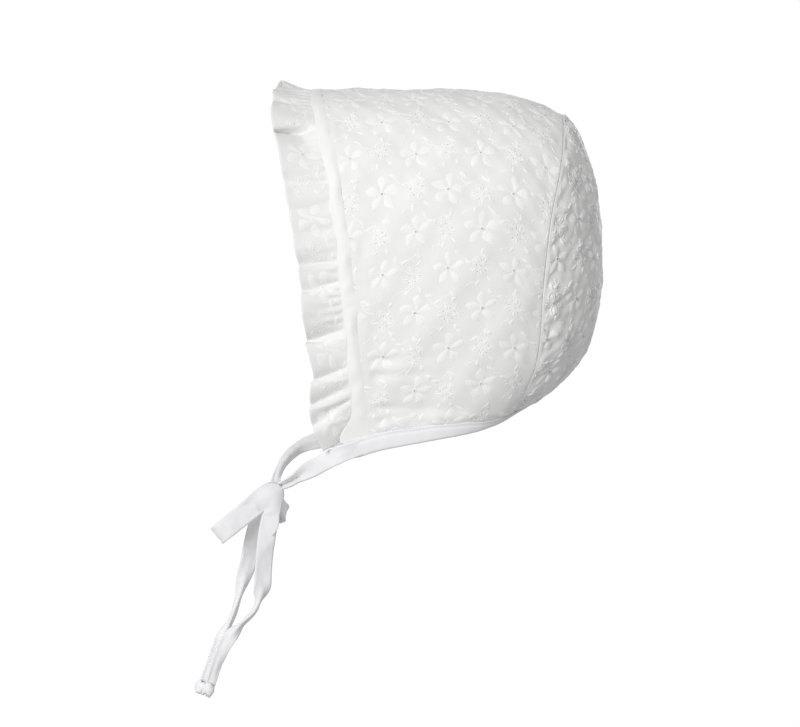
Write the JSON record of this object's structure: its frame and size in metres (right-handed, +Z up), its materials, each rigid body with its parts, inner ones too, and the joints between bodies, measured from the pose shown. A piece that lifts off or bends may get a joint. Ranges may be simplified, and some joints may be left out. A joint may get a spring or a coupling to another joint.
{
  "type": "baby bonnet",
  "caption": "White embroidered cotton baby bonnet with a gathered face ruffle, rounded back panel and bound neck edge whose tapes tie in a bow under the chin.",
  "frame": {"origin": "inside of the crown at its top on the mid-line, where the head bears", "axes": "+Z up, the face opening towards -Y, the wearer's left side at +X"},
  "size_m": [0.1278, 0.1931, 0.291],
  "materials": {
    "embroidered_cotton": "matt white cotton with white satin-stitch flowers",
    "cotton_tape": "plain white cotton tape"
  },
  "bodies": {
    "root": {"crown_panel": "embroidered_cotton", "back_panel": "embroidered_cotton", "front_band": "embroidered_cotton", "front_ruffle": "embroidered_cotton", "neck_binding": "cotton_tape", "tie_left": "cotton_tape", "tie_right": "cotton_tape", "bow_loop_left": "cotton_tape", "bow_loop_right": "cotton_tape", "tie_tail_left": "cotton_tape", "tie_tail_right": "cotton_tape", "bow_knot": "cotton_tape", "tail_knot_left": "cotton_tape", "tail_knot_right": "cotton_tape"}
  },
  "joints": []
}
